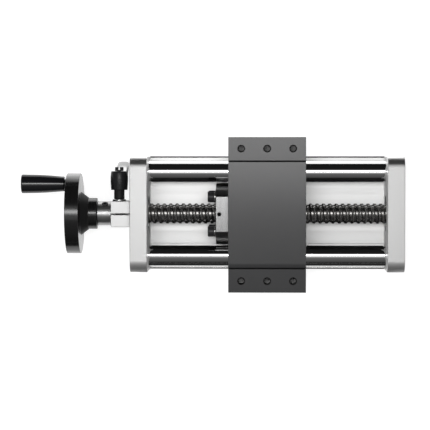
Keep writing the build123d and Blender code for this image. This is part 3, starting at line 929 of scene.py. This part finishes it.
base = carved(made("base", extruded(base_outline, -INNER, INNER, 0.05, 1)), *holes)
piece(base, "base_aluminium", "frame", "base_aluminium", "base_plate")
# Painted light on the front land's strip, in the front shaft's shade
refaced(base, "base_front_land_painted_light", lambda c: c.y < -LAND_END and c.z > BASE_TOP - 0.01)
# Painted shade along the base's sloped upper edges
refaced(base, "base_edge_painted_shade", lambda c: abs(c.y) > BASE_HALF - 0.8 and 11.5 < c.z < BASE_TOP - 0.01)


# Carriage table: two grooves, a land that slopes down at its front edge and six threaded holes

TABLE_LAND, TABLE_WING = 40.85, 41.85
SLOPE = ((-37.4, TABLE_TOP), (-39.2, TABLE_TOP - 0.3), (-TABLE_LAND, TABLE_TOP - 1.0, 0.2))
FRONT_DEPTH, REAR_DEPTH = 4.3, 4.2
TABLE_HOLES = [(x, y) for x in (-20, 0, 20) for y in (-51.1, 51.1)]
table_outline = rounded(
    [
        (-TABLE_HALF_Y, TABLE_LOW, 0.4),
        (TABLE_HALF_Y, TABLE_LOW, 0.4),
        (TABLE_HALF_Y, TABLE_TOP, 0.2),
        (TABLE_WING, TABLE_TOP, 0.2),
        (TABLE_WING, TABLE_TOP - REAR_DEPTH),
        (TABLE_LAND, TABLE_TOP - REAR_DEPTH),
        (TABLE_LAND, TABLE_TOP, 0.2),
        *SLOPE,
        (-TABLE_LAND, TABLE_TOP - FRONT_DEPTH),
        (-TABLE_WING, TABLE_TOP - FRONT_DEPTH),
        (-TABLE_WING, TABLE_TOP, 0.2),
        (-TABLE_HALF_Y, TABLE_TOP, 0.2),
    ],
    steps=8,
)


def threaded_hole(depth, radius, pitch, mouth):
    """A cutter along X for a tapped hole with its mouth at 0, opening towards -X."""
    levels = [(-1, mouth), (0, mouth), (mouth - radius, radius)]
    x = mouth - radius
    while x < depth - pitch:
        levels += [(x + pitch / 2, radius - 0.3), (x + pitch, radius)]
        x += pitch
    levels += [(depth, radius), (depth + 1.2, 0)]
    return lathe([(-1, 0)] + levels, 48)


def in_groove(c):
    return TABLE_LAND - 0.05 < abs(c.y) < TABLE_WING + 0.01 and 61.7 < c.z < 65.5


def in_hole(c):
    return 46 < abs(c.y) < 56 and abs(c.x) < 25 and 57.2 <= c.z < 65.9


threaded = threaded_hole(9, 2.45, 0.8, 3.0)
holes = [placed(threaded, (x, y, TABLE_TOP), (0, 0, -1)) for x, y in TABLE_HOLES]
table = made("table", extruded(table_outline, -TABLE_HALF_X, TABLE_HALF_X, 0.15))
piece(carved(table, *holes), "table_anodised", "carriage", "table_anodised", "carriage_table")
refaced(table, "table_wing", lambda c: abs(c.y) > TABLE_WING - 0.05 and c.z > 60)
# Painted shade on the walls of the grooves and the threaded holes
refaced(table, "painted_recess_shade", in_groove)
refaced(table, "painted_recess_shade", in_hole)
refaced(table, "drilled_bottom", lambda c: abs(c.y) > 45 and 54.5 < c.z < 57.2)


# Handwheel: hub, cone and rim

HUB, RIM, RIM_STEP = 12.3, 31.5, 29.5
BOSS, DISH = 15.5, 4.0
FACE_GROOVE = 0.7
wheel_shape = lathe(
    rounded(
        [
            (HUB_FACE, JOURNAL + FIT, 0.3),
            (HUB_FACE, HUB, 0.7),
            (CONE_START, HUB, 0.5),
            (WHEEL_BACK, 17.0, 0.8),
            (WHEEL_BACK, RIM, 0.4),
            (RIM_FRONT, RIM, 0.3),
            (RIM_FRONT, RIM_STEP, 0.3),
            (WHEEL_FRONT, 28.2, 0.3),
            (WHEEL_FRONT + FACE_GROOVE, 27.4, 0.3),
            (WHEEL_FRONT + FACE_GROOVE, 19.2, 0.3),
            (WHEEL_FRONT, 18.4, 0.3),
            (WHEEL_FRONT, BOSS, 0.5),
            (WHEEL_FRONT + DISH, BOSS, 1.2),
            (WHEEL_FRONT + DISH, JOURNAL + FIT, 0.3),
        ]
    ),
    192,
    closed=True,
)
wheel = made("handwheel_rim", placed(wheel_shape, SCREW_LINE))
piece(wheel, "wheel_resin", "screw", "wheel_resin", "handwheel")
refaced(wheel, "wheel_cast", lambda c: WHEEL_BACK + 0.2 < c.x < CONE_START - 0.1)


# Sleeve between the clamp block and the hub, and its set screw

SLEEVE_START, SLEEVE_END, SLEEVE = BLOCK_FACE - 0.4, HUB_FACE + 0.05, 9.5
SET_HOLE = 2.6
SET_AXIS = Vector((0, cos(radians(35)), sin(radians(35))))
SET_LINE = SCREW_LINE + Vector((BLOCK_FACE - 5.5, 0, 0))
sleeve_shape = lathe(
    rounded(
        [
            (SLEEVE_START, JOURNAL + FIT, 0.2),
            (SLEEVE_START, SLEEVE, 0.4),
            (SLEEVE_END, SLEEVE, 0.4),
            (SLEEVE_END, JOURNAL + FIT, 0.2),
        ]
    ),
    128,
    closed=True,
)
sleeve = carved(
    made("sleeve", placed(sleeve_shape, SCREW_LINE)),
    drill(JOURNAL - 1, SLEEVE + 2.5, SET_HOLE, SET_LINE, SET_AXIS, 48),
)
piece(sleeve, "sleeve_steel", "screw", "sleeve_steel", "drive_sleeve")
set_screw = rings(
    [
        level(6.1, 1.6),
        level(6.9, 2.5),
        level(9.45, 2.5),
        level(9.75, 2.2),
        level(9.8, 1.6),
        level(9.6, lambda k: hexagon(1.25, k)),
        level(7.6, lambda k: hexagon(1.25, k)),
        level(7.3, 0.05),
    ]
)
obj = made("set_screw", placed(set_screw, SET_LINE, SET_AXIS))
piece(obj, "black_steel", "screw", "black_steel", "sleeve_set_screw")


# Crank handle and its shouldered spindle

HANDLE_TIP, HANDLE_END = -193.4, -159.4
HANDLE_BORE = 3.83
HEAD_BACK = HANDLE_TIP + 3.85
handle = lathe(
    rounded(
        [
            (HANDLE_TIP + 4, HANDLE_BORE),
            (HANDLE_TIP + 4, 5.7, 0.3),
            (HANDLE_TIP, 5.7, 0.3),
            (HANDLE_TIP, 7.48, 1.1),
            (-189.6, 7.42),
            (-186.4, 7.35),
            (-183.3, 7.29),
            (-180.1, 7.22),
            (-177.0, 7.11),
            (-173.9, 6.93),
            (-170.7, 6.71),
            (-167.6, 6.46),
            (-164.4, 6.18),
            (-161.6, 5.97),
            (HANDLE_END, 5.90, 0.7),
            (HANDLE_END, HANDLE_BORE),
        ],
        steps=5,
    ),
    128,
    closed=True,
)
obj = made("handle", placed(handle, HANDLE_LINE))
piece(obj, "handle_resin", "handle", "handle_resin", "crank_handle")
spindle = rings(
    [
        level(WHEEL_FRONT + 8.6, 2.6),
        level(WHEEL_FRONT + 8.2, 3.0),
        level(WHEEL_FRONT, 3.0),
        level(WHEEL_FRONT, 3.75),
        level(HEAD_BACK, 3.75),
        level(HEAD_BACK, 5.1),
        level(HEAD_BACK - 0.2, 5.2),
        level(HEAD_BACK - 2.6, 5.2),
        level(HEAD_BACK - 3.0, 4.8),
        level(HEAD_BACK - 3.0, 2.7),
        level(HEAD_BACK - 2.9, lambda k: hexagon(2.0, k)),
        level(HEAD_BACK - 0.6, lambda k: hexagon(2.0, k)),
        level(HEAD_BACK - 0.2, 0.05),
    ]
)
obj = made("spindle", placed(spindle, HANDLE_LINE))
piece(obj, "black_steel", "screw", "black_steel", "handle_spindle")


# Split clamp block

CLAMP_HALF = 10.0
STUD_HOLE = 3.05
BORE_STEPS = 48


def keyhole():
    """Section of the clamp block: a slit from its top down to the journal's bore."""
    half, low, high, slit, bevel = CLAMP_HALF, 11.3, 53.0, 0.5, 0.35
    bore = JOURNAL + 0.05
    outline = [(-half, low, bevel), (half, low, bevel), (half, high, bevel), (slit, high, bevel)]
    first = sin(slit / bore)  # half the slit's small angle
    for k in range(BORE_STEPS + 1):
        angle = pi / 2 - first - (2 * pi - 2 * first) * k / BORE_STEPS
        outline.append((bore * cos(angle), SCREW_Z + bore * sin(angle)))
    return rounded(outline + [(-slit, high, bevel), (-half, high, bevel)])


clamp = carved(
    made("clamp", extruded(keyhole(), BLOCK_FACE, -OUTER, 0.3)),
    drill(-CLAMP_HALF - 1, CLAMP_HALF + 1, STUD_HOLE, LEVER_LINE, UP_Y, 48),
)
piece(clamp, "clamp_aluminium", "frame", "plate_aluminium", "clamp_block")


# Clamp lever: washer, stud, hub and arm

outline = rounded(
    [(CLAMP_HALF, 3.25), (CLAMP_HALF, 5.3, 0.25), (11.6, 5.3, 0.5), (11.6, 3.25)]
)
obj = made("lever_washer", placed(lathe(outline, closed=True), LEVER_LINE, UP_Y))
piece(obj, "washer_steel", "frame", "washer_steel", "clamp_washer")
stud = lathe(
    rounded(
        [
            (-9.4, 0),
            (-9.4, 3.0, 0.5),
            (11.65, 3.0),
            (11.65, 4.1, 0.8),
            (19.0, 4.1),
            (21.6, 4.3),
            (21.6, 0),
        ],
        closed=False,
    )
)
obj = made("lever_stud", placed(stud, LEVER_LINE, UP_Y))
piece(obj, "wheel_cast", "clamp_stud", "black_steel", "clamp_stud")
hub = lathe(
    rounded(
        [
            (18.8, 4.9, 0.2),
            (18.8, 6.4, 0.35),
            (21.5, 6.60),
            (24.0, 6.78),
            (26.6, 6.89),
            (26.8, 6.80),
            (27.1, 6.80),
            (27.3, 6.90),
            (29.0, 6.84),
            (30.8, 6.66),
            (32.3, 6.52),
            (33.4, 6.2, 0.4),
            (33.4, 5.0, 0.25),
            (32.0, 4.6, 0.6),
            (31.8, 3.7, 0.2),
            (23.25, 3.7),
            (23.25, 2.0),
            (21.75, 2.0),
            (21.75, 4.9),
        ],
        steps=3,
    ),
    128,
    closed=True,
)

ARM_X = LEVER_X + 0.6
ARM_TOP = 37.8  # above it the arm has the hub's finish


def arm_section(z, y, wide, deep, power=3.2, count=40):
    """One level section of the arm: a rounded rectangle that is crowned on every side."""
    ring = []
    for k in range(count):
        c, s = cos(2 * pi * k / count), sin(2 * pi * k / count)
        dx = abs(c) ** (2 / power) * (1 if c >= 0 else -1)
        dy = abs(s) ** (2 / power) * (1 if s >= 0 else -1)
        ring.append((ARM_X + wide / 2 * dx, y + deep / 2 * dy, z))
    return ring


# Height, middle, width and depth of the arm's sections, from inside the hub down to its tip
arm_levels = [
    (41.0, 26.1, 8.35, 8.3),
    (38.5, 26.5, 8.5, 8.6),
    (34.0, 27.8, 9.0, 8.3),
    (28.0, 29.8, 9.5, 7.8),
    (20.0, 32.5, 9.8, 7.2),
    (12.0, 35.0, 9.9, 6.8),
    (6.0, 36.8, 9.9, 6.5),
    (3.6, 37.5, 9.5, 6.2),
    (2.4, 37.8, 8.6, 5.5),
    (1.8, 38.0, 7.0, 4.2),
    (1.5, 38.0, 4.4, 2.4),
]
arm = rings([arm_section(*row) for row in arm_levels])
obj = made("lever", joined(placed(hub, LEVER_LINE, UP_Y), arm))
piece(obj, "lever_resin", "clamp_lever", "lever_resin", "clamp_lever")
refaced(obj, "lever_arm", lambda c: c.z < ARM_TOP)
cap = lathe(
    rounded(
        [(14.7, 0), (14.7, 1.7, 0.3), (33.6, 1.7), (33.6, 3.35, 0.3), (36.7, 3.35, 0.5), (36.7, 0)],
        closed=False,
    )
)
slot = extruded([(-0.75, -5), (0.75, -5), (0.75, 5), (-0.75, 5)], 34.5, 38, 0.01, 1)
obj = carved(made("cap_screw", placed(cap, LEVER_LINE, UP_Y)), placed(slot, LEVER_LINE, UP_Y))
piece(obj, "black_steel", "clamp_stud", "black_steel", "lever_cap_screw")


# Lever spring: round wire from the lever's web to the screw's head; the real spring shortens with
# the pull, and here it is drawn at one length

SPRING_LOW, SPRING_HIGH = 23.4, 33.45
SPRING_TURNS = 4
COIL, WIRE = 3.15, 0.4
COIL_STEPS, WIRE_SIDES = 128, 12


def wire_section(turns):
    """The wire's section after so many turns, tilted with the coil's pitch."""
    angle = 2 * pi * turns
    span = SPRING_HIGH - SPRING_LOW - 2 * WIRE
    rise = SPRING_LOW + WIRE + span * turns / SPRING_TURNS
    pitch = span / SPRING_TURNS
    lean = pitch / hypot(pitch, 2 * pi * COIL)
    ring = []
    for k in range(WIRE_SIDES):
        out = COIL + WIRE * cos(2 * pi * k / WIRE_SIDES)
        along = WIRE * sin(2 * pi * k / WIRE_SIDES)
        turned = angle - along * lean / COIL
        ring.append((LEVER_X + out * cos(turned), rise + along, LEVER_Z + out * sin(turned)))
    return ring


coil = [wire_section(SPRING_TURNS * k / COIL_STEPS) for k in range(COIL_STEPS + 1)]
obj = made("lever_coil", rings(coil))
piece(obj, "spring_steel", "clamp_stud", "spring_steel", "lever_spring")
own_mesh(obj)


# Floor, in metres: white to the camera and to reflections, and it keeps the stage's soft shadow

FLOOR_HALF, FLOOR_DROP = 15.0, 0.0001
FLOOR_GREY, FLOOR_GLOW = 0.42, 0.80


def sheet(name, corners):
    """A flat object of one four-sided face."""
    mesh = bpy.data.meshes.new(name)
    mesh.from_pydata(corners, [], [(0, 1, 2, 3)])
    return linked(name, mesh)


square = ((-1, -1), (1, -1), (1, 1), (-1, 1))
floor = sheet("floor", [(x * FLOOR_HALF, y * FLOOR_HALF, -FLOOR_DROP) for x, y in square])
paint = bpy.data.materials.new("floor_paint")
paint.use_nodes = True
tree = paint.node_tree
tree.nodes.clear()
out = tree.nodes.new("ShaderNodeOutputMaterial")
diffuse = tree.nodes.new("ShaderNodeBsdfDiffuse")
diffuse.inputs["Color"].default_value = (FLOOR_GREY, FLOOR_GREY, FLOOR_GREY, 1)
glow = tree.nodes.new("ShaderNodeEmission")
rays = tree.nodes.new("ShaderNodeLightPath")
seen = tree.nodes.new("ShaderNodeMath")
seen.operation = "MAXIMUM"
tree.links.new(rays.outputs["Is Camera Ray"], seen.inputs[0])
tree.links.new(rays.outputs["Is Glossy Ray"], seen.inputs[1])
seen_all = tree.nodes.new("ShaderNodeMath")
seen_all.operation = "MAXIMUM"
tree.links.new(seen.outputs[0], seen_all.inputs[0])
tree.links.new(rays.outputs["Is Transmission Ray"], seen_all.inputs[1])
power = tree.nodes.new("ShaderNodeMath")
power.operation = "MULTIPLY"
power.inputs[1].default_value = FLOOR_GLOW
tree.links.new(seen_all.outputs[0], power.inputs[0])
tree.links.new(power.outputs[0], glow.inputs["Strength"])
both = tree.nodes.new("ShaderNodeAddShader")
tree.links.new(diffuse.outputs[0], both.inputs[0])
tree.links.new(glow.outputs[0], both.inputs[1])
tree.links.new(both.outputs[0], out.inputs["Surface"])
floor.data.materials.append(paint)


# Lamps, in metres, none of which the camera sees

def lamp(name, location, target, size_x, size_y, radiance):
    """A soft rectangular lamp turned to a target; radiance 1 is as bright as white."""
    data = bpy.data.lights.new(name, "AREA")
    data.shape = "RECTANGLE"
    data.size = size_x
    data.size_y = size_y
    data.energy = radiance * pi * size_x * size_y
    obj = linked(name, data)
    obj.location = location
    obj.rotation_mode = "QUATERNION"
    obj.rotation_quaternion = (Vector(target) - Vector(location)).to_track_quat("-Z", "Y")
    obj.visible_camera = False
    return obj


fill = lamp("fill", (-0.26, 0.02, 0.9), (-0.1, 0.0, 0), 1.2, 1.2, 1.2)
fill.visible_glossy = False
# Name, place, target, the two sizes and the radiance of the others
for row in (
    ("overhead", (-0.05, 0.05, 0.74), (-0.05, 0.05, 0), 0.80, 0.50, 0.6),
    ("overhead_core", (-0.066, 0.075, 0.735), (-0.066, 0.075, 0), 0.42, 0.125, 9.3),
    ("low_rear_near", (-0.025, 0.080, 0.003), (-0.025, 0.080, 1), 0.28, 0.066, 0.9),
    ("low_rear_far", (-0.025, 0.128, 0.002), (-0.025, 0.128, 1), 0.28, 0.162, 0.45),
):
    lamp(*row)


# Dark cards, in metres, which only reflections see, and only from their front: dark flags on the
# floor, and painted dark reflections inside the stage

flag_and_reflection_paint = surface("dark_flag_and_painted_reflection", (0.016, 0.016, 0.016), 0.9, scale=400, relief=0.1, shade=0.3, edge=0)
tree = flag_and_reflection_paint.node_tree
card_side = tree.nodes.new("ShaderNodeNewGeometry")
clear = tree.nodes.new("ShaderNodeBsdfTransparent")
one_sided = tree.nodes.new("ShaderNodeMixShader")
tree.links.new(card_side.outputs["Backfacing"], one_sided.inputs[0])
tree.links.new(tree.nodes["Principled BSDF"].outputs[0], one_sided.inputs[1])
tree.links.new(clear.outputs[0], one_sided.inputs[2])
tree.links.new(one_sided.outputs[0], tree.nodes["Material Output"].inputs["Surface"])


def card(name, corners):
    """A dark card with four corners in space."""
    obj = sheet(name, corners)
    obj.visible_camera = False
    obj.visible_diffuse = False
    obj.visible_shadow = False
    obj.data.materials.append(flag_and_reflection_paint)


for name, left, right, front, rear, height in (
    ("cloth_front", -4, 4, -4, -0.19, 0.0005),
    ("cloth_near", -0.105, 0.105, -0.19, -0.0625, 0.0005),
    ("cloth_rear", -4, 4, 0.212, 4, 0.0005),
    # This card lies on the base's top between the plates: a painted dark reflection, shown by the
    # shafts in place of the lit base
    ("painted_reflection_on_base", -0.092, 0.092, -0.0445, 0.0445, 0.0125),
):
    card(
        name,
        [
            (left, front, height),
            (right, front, height),
            (right, rear, height),
            (left, rear, height),
        ],
    )
# These two stand between the screw and the shafts: painted dark reflections in the shafts' inner
# sides, in place of the screw and the other shaft
for name, side in (("painted_reflection_front_shaft", -1), ("painted_reflection_rear_shaft", 1)):
    x, y, low, high = side * 0.092, side * 0.014, 0.0128, 0.046
    card(name, [(x, y, low), (-x, y, low), (-x, y, high), (x, y, high)])


# World: white to the camera, a dim studio to everything else

world = bpy.data.worlds.new("studio")
bpy.context.scene.world = world
world.use_nodes = True
tree = world.node_tree
tree.nodes.clear()
out = tree.nodes.new("ShaderNodeOutputWorld")
white = tree.nodes.new("ShaderNodeBackground")
white.inputs["Color"].default_value = (1, 1, 1, 1)
white.inputs["Strength"].default_value = 1.0
dim = tree.nodes.new("ShaderNodeBackground")
where = tree.nodes.new("ShaderNodeTexCoord")
split = tree.nodes.new("ShaderNodeSeparateXYZ")
tree.links.new(where.outputs["Generated"], split.inputs[0])
walls = tree.nodes.new("ShaderNodeValToRGB")
half_way = tree.nodes.new("ShaderNodeMapRange")
half_way.inputs["From Min"].default_value = -1.0
half_way.inputs["From Max"].default_value = 1.0
tree.links.new(split.outputs["Y"], half_way.inputs["Value"])
tree.links.new(half_way.outputs["Result"], walls.inputs["Fac"])
# The walls' greys run from the front, at 0, to the rear, at 1
ramp = walls.color_ramp
ramp.elements[0].position = 0.0
ramp.elements[0].color = (0.03, 0.03, 0.03, 1)
ramp.elements[1].position = 1.0
ramp.elements[1].color = (0.013, 0.013, 0.013, 1)
for position, grey in ((0.06, 0.10), (0.40, 0.22), (0.50, 0.20), (0.58, 0.013)):
    element = ramp.elements.new(position)
    element.color = (grey, grey, grey, 1)
sides = tree.nodes.new("ShaderNodeMath")
sides.operation = "ABSOLUTE"
tree.links.new(split.outputs["X"], sides.inputs[0])
spread = tree.nodes.new("ShaderNodeMapRange")
spread.interpolation_type = "SMOOTHSTEP"
spread.inputs["From Min"].default_value = 0.22
spread.inputs["From Max"].default_value = 0.60
tree.links.new(sides.outputs[0], spread.inputs["Value"])
blend = tree.nodes.new("ShaderNodeMix")
blend.data_type = "RGBA"
blend.inputs["B"].default_value = (0.40, 0.40, 0.40, 1)
tree.links.new(spread.outputs["Result"], blend.inputs["Factor"])
tree.links.new(walls.outputs["Color"], blend.inputs["A"])
tree.links.new(blend.outputs["Result"], dim.inputs["Color"])
rays = tree.nodes.new("ShaderNodeLightPath")
mix = tree.nodes.new("ShaderNodeMixShader")
tree.links.new(rays.outputs["Is Camera Ray"], mix.inputs[0])
tree.links.new(dim.outputs[0], mix.inputs[1])
tree.links.new(white.outputs[0], mix.inputs[2])
tree.links.new(mix.outputs[0], out.inputs["Surface"])

bpy.context.scene.view_settings.view_transform = "Standard"
